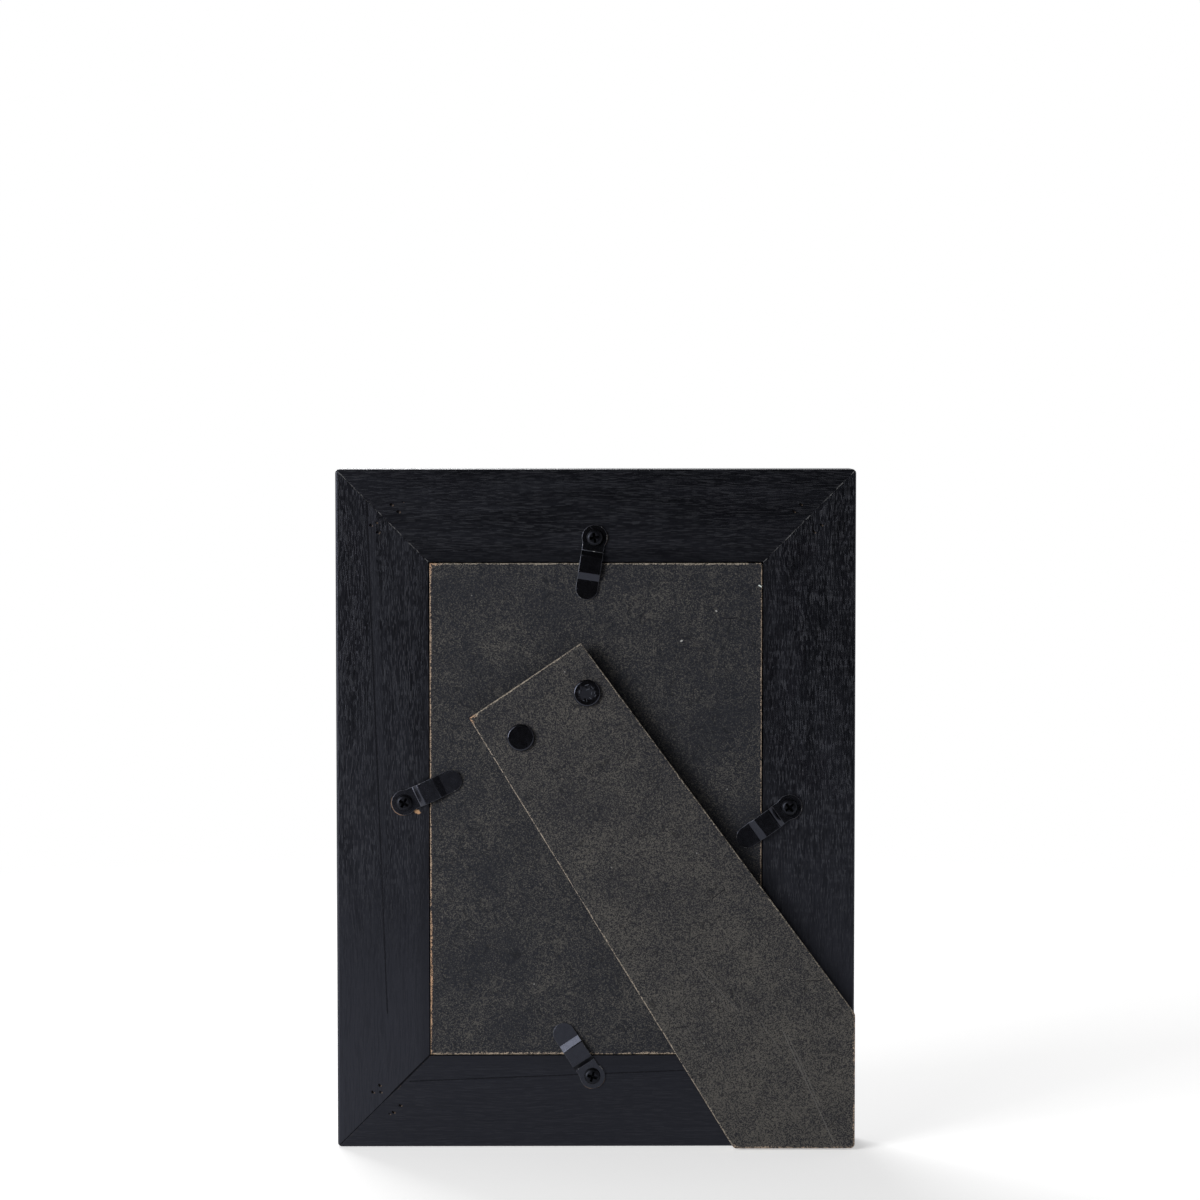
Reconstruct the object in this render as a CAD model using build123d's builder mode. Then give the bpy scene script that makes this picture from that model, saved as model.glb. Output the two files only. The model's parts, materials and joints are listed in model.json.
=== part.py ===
from build123d import *
import os
from math import atan2, degrees, radians, sqrt, tan

# A black-stained wooden photo frame on an easel leg, standing upright with the leg shut.
# Millimetres. +Z is up, the picture faces -Y and the back faces +Y.
# The origin is the middle of the flat bottom face. Left and right are as seen from behind.

os.makedirs("parts", exist_ok=True)

# Moulding
rebate_width = 103.0  # opening in the back that takes the pane, the insert and the panel
rebate_height = 153.0
back_width = 28.5  # flat of the moulding behind, from its outer side to the rebate
lip_width = 5.0  # how far the front lip reaches over the pane
moulding_depth = 15.0
corner_radius = 1.3  # outer corners, sanded round
arris_radius = 0.8  # long outer edges
sight_bevel = 2.0  # bevel around the picture
mitre_ease = 0.12  # fine groove along each mitre

# V-nails, driven across each mitre from behind
v_nail_span = 9.8
v_nail_sweep = 1.2  # how far the wings lean back from the bend
v_nail_thickness = 0.45
v_nail_length = 9.0
v_nail_sunk = 0.5  # filled and stained over
v_nail_dent_length = 0.9  # small hollow left over the end of each wing
v_nail_dent_width = 0.6
v_nail_first = 18.6  # from the outer corner, along the mitre
v_nail_pitch = 3.0
v_nail_count = 2

# Layers in the rebate
pane_thickness = 2.0
insert_thickness = 0.4
panel_thickness = 3.0
panel_proud = 0.3  # how far the panel stands out of the back
rebate_gap = 0.4  # all round the pane, the insert and the panel
panel_corner_radius = 0.3

# Easel leg
leg_thickness = 2.5
leg_top_width = 41.2
leg_slant = 33.9  # of the leg's middle line, from upright
leg_taper = 2.5  # each long edge, from the middle line
leg_top_in = 29.4  # middle of the top edge, from the panel's left edge
leg_top_down = 35.8  # middle of the top edge, from the panel's upper edge
leg_foot_up = 0.6  # of the foot, over the frame's bottom
leg_foot_in = 0.2  # of the foot, from the frame's right side
leg_foot_radius = 1.4
leg_opening = 30.0  # turn at which the top edge of the leg stops against the panel
stop_slack = 1.0  # spare turn before the top edge touches

# Hinge between the leg and the panel
leaf_thickness = 0.6
leaf_width = 34.0
leaf_edge = 5.0  # from the rivet holes to the leaf's free edge
hinge_off_middle = 1.4  # of the hinge, towards the right end of the leg's top edge
pin_radius = 0.8
knuckle_clearance = 0.3  # between a knuckle and what turns past it
knuckle_gap = 0.2  # between neighbouring knuckles
middle_knuckle = 16.0
running_clearance = 0.05
press_clearance = 0.02

# Rivets
leg_rivet_spacing = 24.5
leg_rivet_down = 13.6  # from the leg's top edge
leg_rivet_head_radius = 4.15
leg_rivet_head_height = 1.2
leg_rivet_head_round = 0.6
leg_rivet_shank_radius = 1.5
panel_rivet_spacing = 12.0
panel_rivet_head_radius = 2.8
panel_rivet_head_height = 0.8
panel_rivet_shank_radius = 1.25
clinch_radius = 2.5
clinch_height = 0.7

# Turn buttons, bent from sheet
button_reach = 19.3  # from the screw to the end of the tip
button_width = 6.8
button_pad_radius = 3.9
button_neck_radius = 2.5  # where the strip runs into the pad
button_thickness = 0.6
button_rise_start = 4.5  # from the screw, where the strip leaves the pad
button_rise_run = 1.5
button_flat = 5.0  # raised flat between the two slopes
button_drop_run = 2.1
button_hump = 1.3  # height of the raised flat over the pad
button_bend_radius = 0.2
button_clearance = 0.05  # under the pad, under the tip and under the screw's head
# Where each button is screwed on: along its side from the middle, and out from the rebate
top_screw_along = -0.4
top_screw_out = 7.5
left_screw_along = 2.3
left_screw_out = 7.6
right_screw_along = 0.8
right_screw_out = 8.2
bottom_screw_along = -1.1
bottom_screw_out = 6.3
# How far each button is turned from square to its side
top_button_turn = -8.7
left_button_turn = 25.0
right_button_turn = 35.4
bottom_button_turn = 33.5

# Button screws
screw_head_radius = 2.45
screw_head_rim = 0.5
screw_head_dome = 0.9  # height of the rounded shoulder over the rim
screw_head_flat = 1.3  # radius of the flat top
screw_shank_radius = 1.25
screw_length = 10.0
screw_point = 2.0
cross_length = 3.2
cross_width = 0.85
cross_depth = 1.0
cross_taper = 12.0

# Sizes that follow from those above
outer_width = rebate_width + 2 * back_width
outer_height = rebate_height + 2 * back_width
sight_width = rebate_width - 2 * lip_width
sight_height = rebate_height - 2 * lip_width
moulding_width = back_width + lip_width
rebate_depth = pane_thickness + insert_thickness + panel_thickness - panel_proud
layer_width = rebate_width - 2 * rebate_gap
layer_height = rebate_height - 2 * rebate_gap
middle = (0, outer_height / 2)
knuckle_radius = pin_radius + running_clearance + leaf_thickness
pin_height = knuckle_radius + knuckle_clearance
leg_height = 2 * pin_height
pin_down = pin_height / tan(radians((leg_opening + stop_slack) / 2))
leaf_length = leg_rivet_down - pin_down + leaf_edge

# Planes seen from behind: x to the right, y up, z out of the back
back = Plane(origin=(0, moulding_depth / 2, 0), x_dir=(-1, 0, 0), z_dir=(0, 1, 0))
panel_face = back.offset(panel_proud)


def plane_at(base, x, y, turn):
    """Plane moved to x, y on a base plane and turned there, in degrees."""
    return Plane(base.location * Location((x, y, 0), (0, 0, turn)))


def side_view(plane):
    """Upright plane through the x line of a plane: x stays, y points out of the plane."""
    return Plane(origin=plane.origin, x_dir=plane.x_dir, z_dir=-plane.y_dir)


def save(builder, name):
    """Label a finished piece and write it to its file."""
    builder.part.label = name
    export_step(builder.part, f"parts/{name}.step")


# Each corner of the frame: its outer and inner end, and a plane with x along the mitre inwards
outer_corners = {}
inner_corners = {}
mitres = {}
for across, side_name in ((-1, "left"), (1, "right")):
    for upward, end_name in ((-1, "bottom"), (1, "top")):
        corner_name = f"{end_name}_{side_name}"
        corner_x = across * outer_width / 2
        corner_y = (1 + upward) * outer_height / 2
        outer_corners[corner_name] = (corner_x, corner_y)
        inner_x = corner_x - across * moulding_width
        inner_y = corner_y - upward * moulding_width
        inner_corners[corner_name] = (inner_x, inner_y)
        inward = degrees(atan2(-upward, -across))
        mitres[corner_name] = plane_at(back, corner_x, corner_y, inward)

# Screw of each button, with x along the button towards its tip
top_screw_y = outer_height - back_width + top_screw_out
left_screw_x = -rebate_width / 2 - left_screw_out
left_screw_y = outer_height / 2 + left_screw_along
right_screw_x = rebate_width / 2 + right_screw_out
right_screw_y = outer_height / 2 + right_screw_along
bottom_screw_y = back_width - bottom_screw_out
button_planes = {
    "top": plane_at(back, top_screw_along, top_screw_y, top_button_turn - 90),
    "left": plane_at(back, left_screw_x, left_screw_y, left_button_turn),
    "right": plane_at(back, right_screw_x, right_screw_y, right_button_turn + 180),
    "bottom": plane_at(back, bottom_screw_along, bottom_screw_y, bottom_button_turn + 90),
}
# How far the cross in each screw is turned from its button
cross_turns = {"top": 20.0, "left": 35.0, "right": 5.0, "bottom": 40.0}


def v_nail_outline(thickness):
    """Corners of a V-nail seen from behind, bend at the origin and pointing to -x."""
    half = thickness / 2
    tip = v_nail_span / 2
    return (
        (-half, 0),
        (v_nail_sweep - half, -tip),
        (v_nail_sweep + half, -tip),
        (half, 0),
        (v_nail_sweep + half, tip),
        (v_nail_sweep - half, tip),
    )


v_nail_places = [(v_nail_first + index * v_nail_pitch, 0) for index in range(v_nail_count)]

# A pair of V-nails in each corner, and the slots that they sit in
for corner_name, mitre in mitres.items():
    with BuildPart() as v_nails:
        with BuildSketch(mitre.offset(-v_nail_sunk)):
            with Locations(*v_nail_places):
                Polygon(*v_nail_outline(v_nail_thickness), align=None)
        extrude(amount=-v_nail_length)
    save(v_nails, f"{corner_name}_v_nails")

with BuildPart() as v_nail_slots:
    for mitre in mitres.values():
        with BuildSketch(mitre.offset(-v_nail_sunk)):
            with Locations(*v_nail_places):
                Polygon(*v_nail_outline(v_nail_thickness + 2 * press_clearance), align=None)
        extrude(amount=-v_nail_length)

wing_end = (v_nail_span - v_nail_dent_length) / 2
dent_places = [(x + v_nail_sweep, side * wing_end) for x, _ in v_nail_places for side in (-1, 1)]
with BuildPart() as v_nail_dents:
    for mitre in mitres.values():
        with BuildSketch(mitre):
            with Locations(*dent_places):
                Rectangle(v_nail_dent_width, v_nail_dent_length)
        extrude(amount=-v_nail_sunk)

# Pilot holes for the button screws
with BuildPart() as screw_holes:
    for button_plane in button_planes.values():
        with BuildSketch(button_plane):
            Circle(screw_shank_radius + press_clearance)
        extrude(amount=-screw_length)

# The moulding as one closed frame, before it is parted at the mitres
with BuildPart() as moulding:
    with BuildSketch(back):
        with Locations(middle):
            RectangleRounded(outer_width, outer_height, corner_radius)
            Rectangle(sight_width, sight_height, mode=Mode.SUBTRACT)
    extrude(amount=-moulding_depth)
    with BuildSketch(back):
        with Locations(middle):
            Rectangle(rebate_width, rebate_height)
    extrude(amount=-rebate_depth, mode=Mode.SUBTRACT)
    faces_in_depth = moulding.faces().sort_by(Axis.Y)
    outer_edges = faces_in_depth[0].outer_wire().edges() + faces_in_depth[-1].outer_wire().edges()
    fillet(outer_edges, min(arris_radius, 0.9 * corner_radius))
    sight_edges = moulding.faces().sort_by(Axis.Y)[0].inner_wires()[0].edges()
    chamfer(sight_edges, sight_bevel)

# Two rails and two stiles, each the part of the frame between two mitres
lengths = {
    "top_rail": ("top_left", "top_right"),
    "bottom_rail": ("bottom_left", "bottom_right"),
    "left_stile": ("bottom_left", "top_left"),
    "right_stile": ("bottom_right", "top_right"),
}
for length_name, (start, end) in lengths.items():
    with BuildPart() as length:
        add(moulding.part)
        with BuildSketch(back):
            with BuildLine():
                Polyline(
                    outer_corners[start],
                    outer_corners[end],
                    inner_corners[end],
                    inner_corners[start],
                    close=True,
                )
            make_face()
        extrude(amount=-moulding_depth, mode=Mode.INTERSECT)
        back_edges = length.edges().filter_by_position(Axis.Y, back.origin.Y, back.origin.Y)
        start_edges = back_edges.filter_by(Axis(mitres[start].origin, mitres[start].x_dir))
        end_edges = back_edges.filter_by(Axis(mitres[end].origin, mitres[end].x_dir))
        chamfer(start_edges + end_edges, mitre_ease)
        add(v_nail_slots.part, mode=Mode.SUBTRACT)
        add(v_nail_dents.part, mode=Mode.SUBTRACT)
        add(screw_holes.part, mode=Mode.SUBTRACT)
    save(length, length_name)

# Pane, insert and panel, one behind the other in the rebate
pane_level = -rebate_depth
with BuildPart() as glass_pane:
    with BuildSketch(back.offset(pane_level)):
        with Locations(middle):
            Rectangle(layer_width, layer_height)
    extrude(amount=pane_thickness)
save(glass_pane, "glass_pane")

insert_level = pane_level + pane_thickness
with BuildPart() as photo_insert:
    with BuildSketch(back.offset(insert_level)):
        with Locations(middle):
            Rectangle(layer_width, layer_height)
    extrude(amount=insert_thickness)
save(photo_insert, "photo_insert")

# Hinge line of the leg: the middle of the leg's top edge, then down to the pin
leg_top_x = leg_top_in - layer_width / 2
leg_top_y = outer_height / 2 + layer_height / 2 - leg_top_down
leg_top = plane_at(panel_face, leg_top_x, leg_top_y, leg_slant)
hinge = plane_at(leg_top, hinge_off_middle, -pin_down, 0)
leg_rivet_y = pin_down - leg_rivet_down
leg_rivet_places = [(-leg_rivet_spacing / 2, leg_rivet_y), (leg_rivet_spacing / 2, leg_rivet_y)]
panel_rivet_places = [(-panel_rivet_spacing / 2, leg_rivet_y), (panel_rivet_spacing / 2, leg_rivet_y)]

panel_level = insert_level + insert_thickness
with BuildPart() as back_panel:
    with BuildSketch(back.offset(panel_level)):
        with Locations(middle):
            RectangleRounded(layer_width, layer_height, panel_corner_radius)
    extrude(amount=panel_thickness)
    with BuildSketch(hinge):
        with Locations(*panel_rivet_places):
            Circle(panel_rivet_shank_radius + press_clearance)
    extrude(amount=-panel_thickness, mode=Mode.SUBTRACT)
    with BuildSketch(hinge.offset(-panel_thickness)):
        with Locations(*panel_rivet_places):
            Circle(clinch_radius + press_clearance)
    extrude(amount=clinch_height, mode=Mode.SUBTRACT)
save(back_panel, "back_panel")

# Leg: a tapered strip whose foot is cut along the frame's bottom and its right side
top_left = leg_top.from_local_coords((-leg_top_width / 2, 0, 0))
top_right = leg_top.from_local_coords((leg_top_width / 2, 0, 0))
top_left = panel_face.to_local_coords(top_left)
top_right = panel_face.to_local_coords(top_right)
foot_x = outer_width / 2 - leg_foot_in
foot_y = leg_foot_up
foot_left_x = top_left.X + (top_left.Y - foot_y) * tan(radians(leg_slant - leg_taper))
foot_right_y = top_right.Y - (foot_x - top_right.X) / tan(radians(leg_slant + leg_taper))
with BuildPart() as easel_leg:
    with BuildSketch(panel_face.offset(leg_height)):
        with BuildLine():
            Polyline(
                (top_left.X, top_left.Y),
                (foot_left_x, foot_y),
                (foot_x, foot_y),
                (foot_x, foot_right_y),
                (top_right.X, top_right.Y),
                close=True,
            )
        make_face()
        foot_corners = vertices().sort_by(Axis.Y)[:3]
        fillet(foot_corners, leg_foot_radius)
    extrude(amount=leg_thickness)
    with BuildSketch(hinge.offset(leg_height)):
        with Locations(*leg_rivet_places):
            Circle(leg_rivet_shank_radius + press_clearance)
    extrude(amount=leg_thickness, mode=Mode.SUBTRACT)
save(easel_leg, "easel_leg")

# Hinge: end view with x up the leg and y out of the panel, looking along the pin
hinge_end = Plane(
    origin=hinge.from_local_coords((0, 0, pin_height)),
    x_dir=hinge.y_dir,
    z_dir=hinge.x_dir,
)
end_knuckle = (leaf_width - middle_knuckle) / 2 - knuckle_gap
end_start = leaf_width / 2 - end_knuckle
notch_reach = knuckle_radius + knuckle_clearance

with BuildPart() as hinge_panel_leaf:
    with BuildSketch(hinge):
        Rectangle(leaf_width, leaf_length, align=(Align.CENTER, Align.MAX))
        Rectangle(2 * end_start, 2 * notch_reach, mode=Mode.SUBTRACT)
        with Locations(*panel_rivet_places):
            Circle(panel_rivet_shank_radius + press_clearance, mode=Mode.SUBTRACT)
    extrude(amount=leaf_thickness)
    for start in (-leaf_width / 2, end_start):
        with BuildSketch(hinge_end.offset(start)):
            Circle(knuckle_radius)
        extrude(amount=end_knuckle)
    with BuildSketch(hinge_end):
        Circle(pin_radius + press_clearance)
    extrude(amount=leaf_width / 2, both=True, mode=Mode.SUBTRACT)
save(hinge_panel_leaf, "hinge_panel_leaf")

with BuildPart() as hinge_leg_leaf:
    with BuildSketch(hinge.offset(leg_height)):
        Rectangle(leaf_width, leaf_length, align=(Align.CENTER, Align.MAX))
        for end in (-1, 1):
            with Locations((end * leaf_width / 2, 0)):
                Rectangle(leaf_width - middle_knuckle, 2 * notch_reach, mode=Mode.SUBTRACT)
        with Locations(*leg_rivet_places):
            Circle(leg_rivet_shank_radius + press_clearance, mode=Mode.SUBTRACT)
    extrude(amount=-leaf_thickness)
    with BuildSketch(hinge_end):
        Circle(knuckle_radius)
    extrude(amount=middle_knuckle / 2, both=True)
    with BuildSketch(hinge_end):
        Circle(pin_radius + running_clearance)
    extrude(amount=leaf_width / 2, both=True, mode=Mode.SUBTRACT)
save(hinge_leg_leaf, "hinge_leg_leaf")

with BuildPart() as hinge_pin:
    with BuildSketch(hinge_end):
        Circle(pin_radius)
    extrude(amount=leaf_width / 2, both=True)
save(hinge_pin, "hinge_pin")

# Rivets: flat heads outside on the leg, clinched inside on the leaf
with BuildPart() as leg_rivets:
    with BuildSketch(hinge.offset(leg_height + leg_thickness)):
        with Locations(*leg_rivet_places):
            Circle(leg_rivet_head_radius)
    extrude(amount=leg_rivet_head_height)
    rims = leg_rivets.faces().group_by(Axis.Y)[-1].edges()
    fillet(rims, min(leg_rivet_head_round, 0.9 * leg_rivet_head_height))
    with BuildSketch(hinge.offset(leg_height + leg_thickness)):
        with Locations(*leg_rivet_places):
            Circle(leg_rivet_shank_radius)
    extrude(amount=-leg_thickness - leaf_thickness)
    with BuildSketch(hinge.offset(leg_height - leaf_thickness)):
        with Locations(*leg_rivet_places):
            Circle(clinch_radius)
    extrude(amount=-clinch_height)
save(leg_rivets, "leg_rivets")

with BuildPart() as panel_rivets:
    with BuildSketch(hinge.offset(leaf_thickness)):
        with Locations(*panel_rivet_places):
            Circle(panel_rivet_head_radius)
    extrude(amount=panel_rivet_head_height)
    with BuildSketch(hinge.offset(leaf_thickness)):
        with Locations(*panel_rivet_places):
            Circle(panel_rivet_shank_radius)
    extrude(amount=-leaf_thickness - panel_thickness)
    with BuildSketch(hinge.offset(-panel_thickness)):
        with Locations(*panel_rivet_places):
            Circle(clinch_radius)
    extrude(amount=clinch_height)
save(panel_rivets, "panel_rivets")

# Turn buttons: a round pad under the screw, a raised middle and a tip that holds the panel
tip_level = panel_proud + button_clearance
hump_level = button_clearance + button_hump
rise_end = button_rise_start + button_rise_run
drop_start = rise_end + button_flat
drop_end = drop_start + button_drop_run
tip_radius = button_width / 2
neck = sqrt(button_pad_radius**2 - tip_radius**2)
for side_name, button_plane in button_planes.items():
    with BuildPart() as turn_button:
        with BuildSketch(side_view(button_plane)):
            with BuildLine():
                FilletPolyline(
                    (-button_pad_radius, button_clearance),
                    (button_rise_start, button_clearance),
                    (rise_end, hump_level),
                    (drop_start, hump_level),
                    (drop_end, tip_level),
                    (button_reach, tip_level),
                    radius=button_bend_radius,
                )
                offset(amount=button_thickness, side=Side.LEFT, closed=True)
            make_face()
        extrude(amount=button_pad_radius, both=True)
        with BuildSketch(button_plane):
            Circle(button_pad_radius)
            Rectangle(button_reach - tip_radius, button_width, align=(Align.MIN, Align.CENTER))
            with Locations((button_reach - tip_radius, 0)):
                Circle(tip_radius)
            necks = vertices().filter_by_position(Axis.X, neck - running_clearance, neck + running_clearance)
            fillet(necks, button_neck_radius)
            Circle(screw_shank_radius + running_clearance, mode=Mode.SUBTRACT)
        extrude(amount=hump_level + 2 * button_thickness, mode=Mode.INTERSECT)
    save(turn_button, f"{side_name}_turn_button")

# Button screws: flat-topped pan heads with a cross recess, plain shanks and a point
head_level = 2 * button_clearance + button_thickness
head_top = head_level + screw_head_rim + screw_head_dome
for side_name, button_plane in button_planes.items():
    cross_plane = plane_at(button_plane.offset(head_top), 0, 0, cross_turns[side_name])
    with BuildPart() as button_screw:
        with BuildSketch(side_view(button_plane)):
            with BuildLine():
                Polyline(
                    (screw_head_flat, head_top),
                    (0, head_top),
                    (0, -screw_length),
                    (screw_shank_radius, screw_point - screw_length),
                    (screw_shank_radius, head_level),
                    (screw_head_radius, head_level),
                    (screw_head_radius, head_level + screw_head_rim),
                )
                EllipticalCenterArc(
                    (screw_head_flat, head_level + screw_head_rim),
                    screw_head_radius - screw_head_flat,
                    screw_head_dome,
                    start_angle=0,
                    arc_size=90,
                )
            make_face()
        revolve(axis=Axis(button_plane.origin, button_plane.z_dir))
        with BuildSketch(cross_plane):
            Rectangle(cross_length, cross_width)
            Rectangle(cross_width, cross_length)
        extrude(amount=-cross_depth, taper=cross_taper, mode=Mode.SUBTRACT)
    save(button_screw, f"{side_name}_button_screw")
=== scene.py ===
# %% [markdown]
# # An easel back photo frame, seen from behind
# The object is a small wooden frame for a 10 x 15 cm print, stained black. It stands on its
# bottom rail with the easel leg shut, and we look at its back.
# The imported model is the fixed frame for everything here: each piece is written where the
# model says it is, in metres, so nothing has to be fitted by eye.

import json
import math

import bmesh
import bpy
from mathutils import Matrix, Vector, geometry, noise

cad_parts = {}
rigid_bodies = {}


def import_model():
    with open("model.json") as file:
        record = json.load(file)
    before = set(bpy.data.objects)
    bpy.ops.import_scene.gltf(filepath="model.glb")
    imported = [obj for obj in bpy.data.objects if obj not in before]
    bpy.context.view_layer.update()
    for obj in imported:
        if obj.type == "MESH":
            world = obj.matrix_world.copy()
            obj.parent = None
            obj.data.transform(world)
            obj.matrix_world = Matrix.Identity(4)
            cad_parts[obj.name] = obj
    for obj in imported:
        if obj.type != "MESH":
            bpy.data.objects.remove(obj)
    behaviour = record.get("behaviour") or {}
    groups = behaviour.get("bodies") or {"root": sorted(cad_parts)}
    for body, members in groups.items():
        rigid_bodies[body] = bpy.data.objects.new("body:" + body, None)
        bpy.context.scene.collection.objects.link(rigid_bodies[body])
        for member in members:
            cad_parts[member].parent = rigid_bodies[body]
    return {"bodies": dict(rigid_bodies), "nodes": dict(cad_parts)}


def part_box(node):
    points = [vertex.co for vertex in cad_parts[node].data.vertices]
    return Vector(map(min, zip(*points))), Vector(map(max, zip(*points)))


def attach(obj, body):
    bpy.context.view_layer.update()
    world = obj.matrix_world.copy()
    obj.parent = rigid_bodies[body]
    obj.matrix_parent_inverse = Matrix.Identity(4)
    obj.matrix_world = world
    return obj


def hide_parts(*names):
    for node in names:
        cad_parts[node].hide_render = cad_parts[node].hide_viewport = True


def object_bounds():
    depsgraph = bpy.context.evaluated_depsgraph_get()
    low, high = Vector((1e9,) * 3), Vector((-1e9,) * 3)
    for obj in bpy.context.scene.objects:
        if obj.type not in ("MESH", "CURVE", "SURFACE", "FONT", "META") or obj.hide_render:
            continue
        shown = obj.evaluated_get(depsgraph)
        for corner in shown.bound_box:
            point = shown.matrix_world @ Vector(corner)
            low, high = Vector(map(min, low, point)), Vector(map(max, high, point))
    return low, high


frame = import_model()
cad_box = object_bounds()
nodes = frame["nodes"]
MM = 0.001

# %% [markdown]
# ## Camera
# The photograph was taken with a long lens, a little above the middle of the frame and
# nearly square to it. Matching the four back corners of the frame and of the panel gives the
# place, turn and tilt below. A long lens keeps the sides almost parallel.


# %% Camera
def new_object(name, data):
    """A new object in the scene."""
    made = bpy.data.objects.new(name, data)
    bpy.context.scene.collection.objects.link(made)
    return made


camera_data = bpy.data.cameras.new("camera")
camera_data.lens = 105.0
camera_data.sensor_width = 36.0
camera = new_object("camera", camera_data)
camera.location = (0.0079, 1.0817, 0.2309)
turn, tilt = math.radians(-0.489), math.radians(3.257)
look = Vector((math.sin(turn) * math.cos(tilt), -math.cos(turn) * math.cos(tilt), -math.sin(tilt)))
camera.rotation_euler = look.to_track_quat("-Z", "Y").to_euler()
bpy.context.scene.camera = camera
bpy.context.scene.view_settings.view_transform = "Standard"
print("camera looks along", [round(c, 3) for c in look])

# %% [markdown]
# ## Small helpers for node trees
# Every finish is a tree of nodes. Writing a node in one line, with its settings and what
# feeds its sockets, keeps a tree readable from top to bottom.


# %% Helpers for node trees
def add(tree, kind, sockets=None, **settings):
    """Add one node, with its settings, and fill its sockets with values or other nodes' outputs."""
    made = tree.nodes.new("ShaderNode" + kind)
    for key, value in settings.items():
        setattr(made, key, value)
    for key, value in (sockets or {}).items():
        if isinstance(value, bpy.types.NodeSocket):
            tree.links.new(value, made.inputs[key])
        else:
            made.inputs[key].default_value = value
    return made


def calc(tree, operation, first, second=0.0, third=0.0):
    """One step of arithmetic on values."""
    return add(tree, "Math", {0: first, 1: second, 2: third}, operation=operation).outputs[0]


def times(tree, first, second):
    """The product of two values."""
    return calc(tree, "MULTIPLY", first, second)


def vec(tree, operation, first, second=(0.0, 0.0, 0.0)):
    """One step of arithmetic on vectors."""
    return add(tree, "VectorMath", {0: first, 1: second}, operation=operation).outputs[0]


def measure(tree, operation, first, second=(0.0, 0.0, 0.0)):
    """A length, a distance or a product of two vectors, as one value."""
    return add(tree, "VectorMath", {0: first, 1: second}, operation=operation).outputs["Value"]


def xyz(tree, vector):
    """The three parts of a vector."""
    return add(tree, "SeparateXYZ", {0: vector}).outputs


def fade(tree, value, low, high, start=0.0, end=1.0):
    """A soft step: start below low, end above high."""
    sockets = {"Value": value, "From Min": low, "From Max": high, "To Min": start, "To Max": end}
    return add(tree, "MapRange", sockets, interpolation_type="SMOOTHSTEP").outputs["Result"]


def mix(tree, mask, first, second):
    """The first colour where the mask is 0, the second where it is 1."""
    return add(tree, "Mix", {0: mask, 6: first, 7: second}, data_type="RGBA").outputs[2]


def cloud(tree, position, scale, seed=0.0, detail=2.0):
    """Soft noise from 0 to 1. The scale is in cycles a metre, one number for each axis."""
    scaled = vec(tree, "MULTIPLY", position, scale)
    sockets = {"Vector": scaled, "W": seed, "Scale": 1.0, "Detail": detail, "Roughness": 0.55}
    return add(tree, "TexNoise", sockets, noise_dimensions="4D").outputs[0]


def grains(tree, position, scale, seed=0.0):
    """A crisp mosaic of cells, each with one chance value from 0 to 1. The scale is in cells a metre."""
    scaled = vec(tree, "ADD", vec(tree, "MULTIPLY", position, scale), seed)
    cells = add(tree, "TexVoronoi", {"Vector": scaled, "Scale": 1.0}).outputs
    return xyz(tree, cells["Color"])[0]


def rgb(red, green, blue):
    """A colour, as linear red, green and blue."""
    return (red, green, blue, 1.0)


def new_finish(name):
    """A new material; returns it with its tree, its shader and the position on the object."""
    material = bpy.data.materials.new(name)
    material.use_nodes = True
    tree = material.node_tree
    shader = tree.nodes["Principled BSDF"]
    return material, tree, shader, add(tree, "TexCoord").outputs["Object"]


def new_group(name, inputs, outputs):
    """A new node group with named sockets; returns its tree, what it is given and what it puts out."""
    tree = bpy.data.node_groups.new(name, "ShaderNodeTree")
    for label, kind in inputs:
        tree.interface.new_socket(label, in_out="INPUT", socket_type="NodeSocket" + kind)
    for label in outputs:
        tree.interface.new_socket(label, in_out="OUTPUT", socket_type="NodeSocketFloat")
    given = tree.nodes.new("NodeGroupInput").outputs
    return tree, given, tree.nodes.new("NodeGroupOutput").inputs


def placed(tree, group, **values):
    """Place a group in a tree with its own values; returns what it puts out."""
    return add(tree, "Group", values, node_tree=group).outputs


def put(tree, value, socket):
    """Link one output to one input."""
    tree.links.new(value, socket)


def emboss(tree, shader, height, strength, depth):
    """Fine relief in the shading, for what is too small for the shape."""
    sockets = {"Height": height, "Strength": strength, "Distance": depth}
    put(tree, add(tree, "Bump", sockets).outputs[0], shader.inputs["Normal"])


def give_finish(node_name, material):
    """Give a piece of the model its finish."""
    nodes[node_name].data.materials.clear()
    nodes[node_name].data.materials.append(material)


# %% [markdown]
# ## Floor, surroundings and lamps
# The frame stands on a white table in front of nothing but white. The world is white to the
# camera and in reflections, and gives soft light from all round. Near the frame the floor is an
# ordinary pale surface that takes the shadow, and further out it turns into the same white, so
# that no line shows where they meet.
# Black stain and enamel show mostly what they reflect. In the photograph the lower part of the
# back mirrors the white table and the upper part a dark room. So a dark cloth lies on the floor
# before the frame, goes up behind the camera and on the right, and comes back overhead. The
# camera itself doesn't see it.
# The leg throws its shadow to the right, so the main lamp stands to the left, nearly level. A
# smaller one hangs higher, where the slope of the lower turn button mirrors it. A third lights
# the picture side.


# %% Floor, surroundings and lamps
def seen_directly(tree):
    """1 for what the camera, a gloss or a clear pane sees, 0 for the light that falls on things."""
    path = add(tree, "LightPath").outputs
    glossy_or_clear = calc(tree, "MAXIMUM", path["Is Glossy Ray"], path["Is Transmission Ray"])
    return calc(tree, "MAXIMUM", path["Is Camera Ray"], glossy_or_clear)


def flat_stage(name, corners, faces):
    """A plain flat piece of the studio."""
    mesh = bpy.data.meshes.new(name)
    mesh.from_pydata(corners, [], faces)
    stage = new_object(name, mesh)
    return stage


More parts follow.
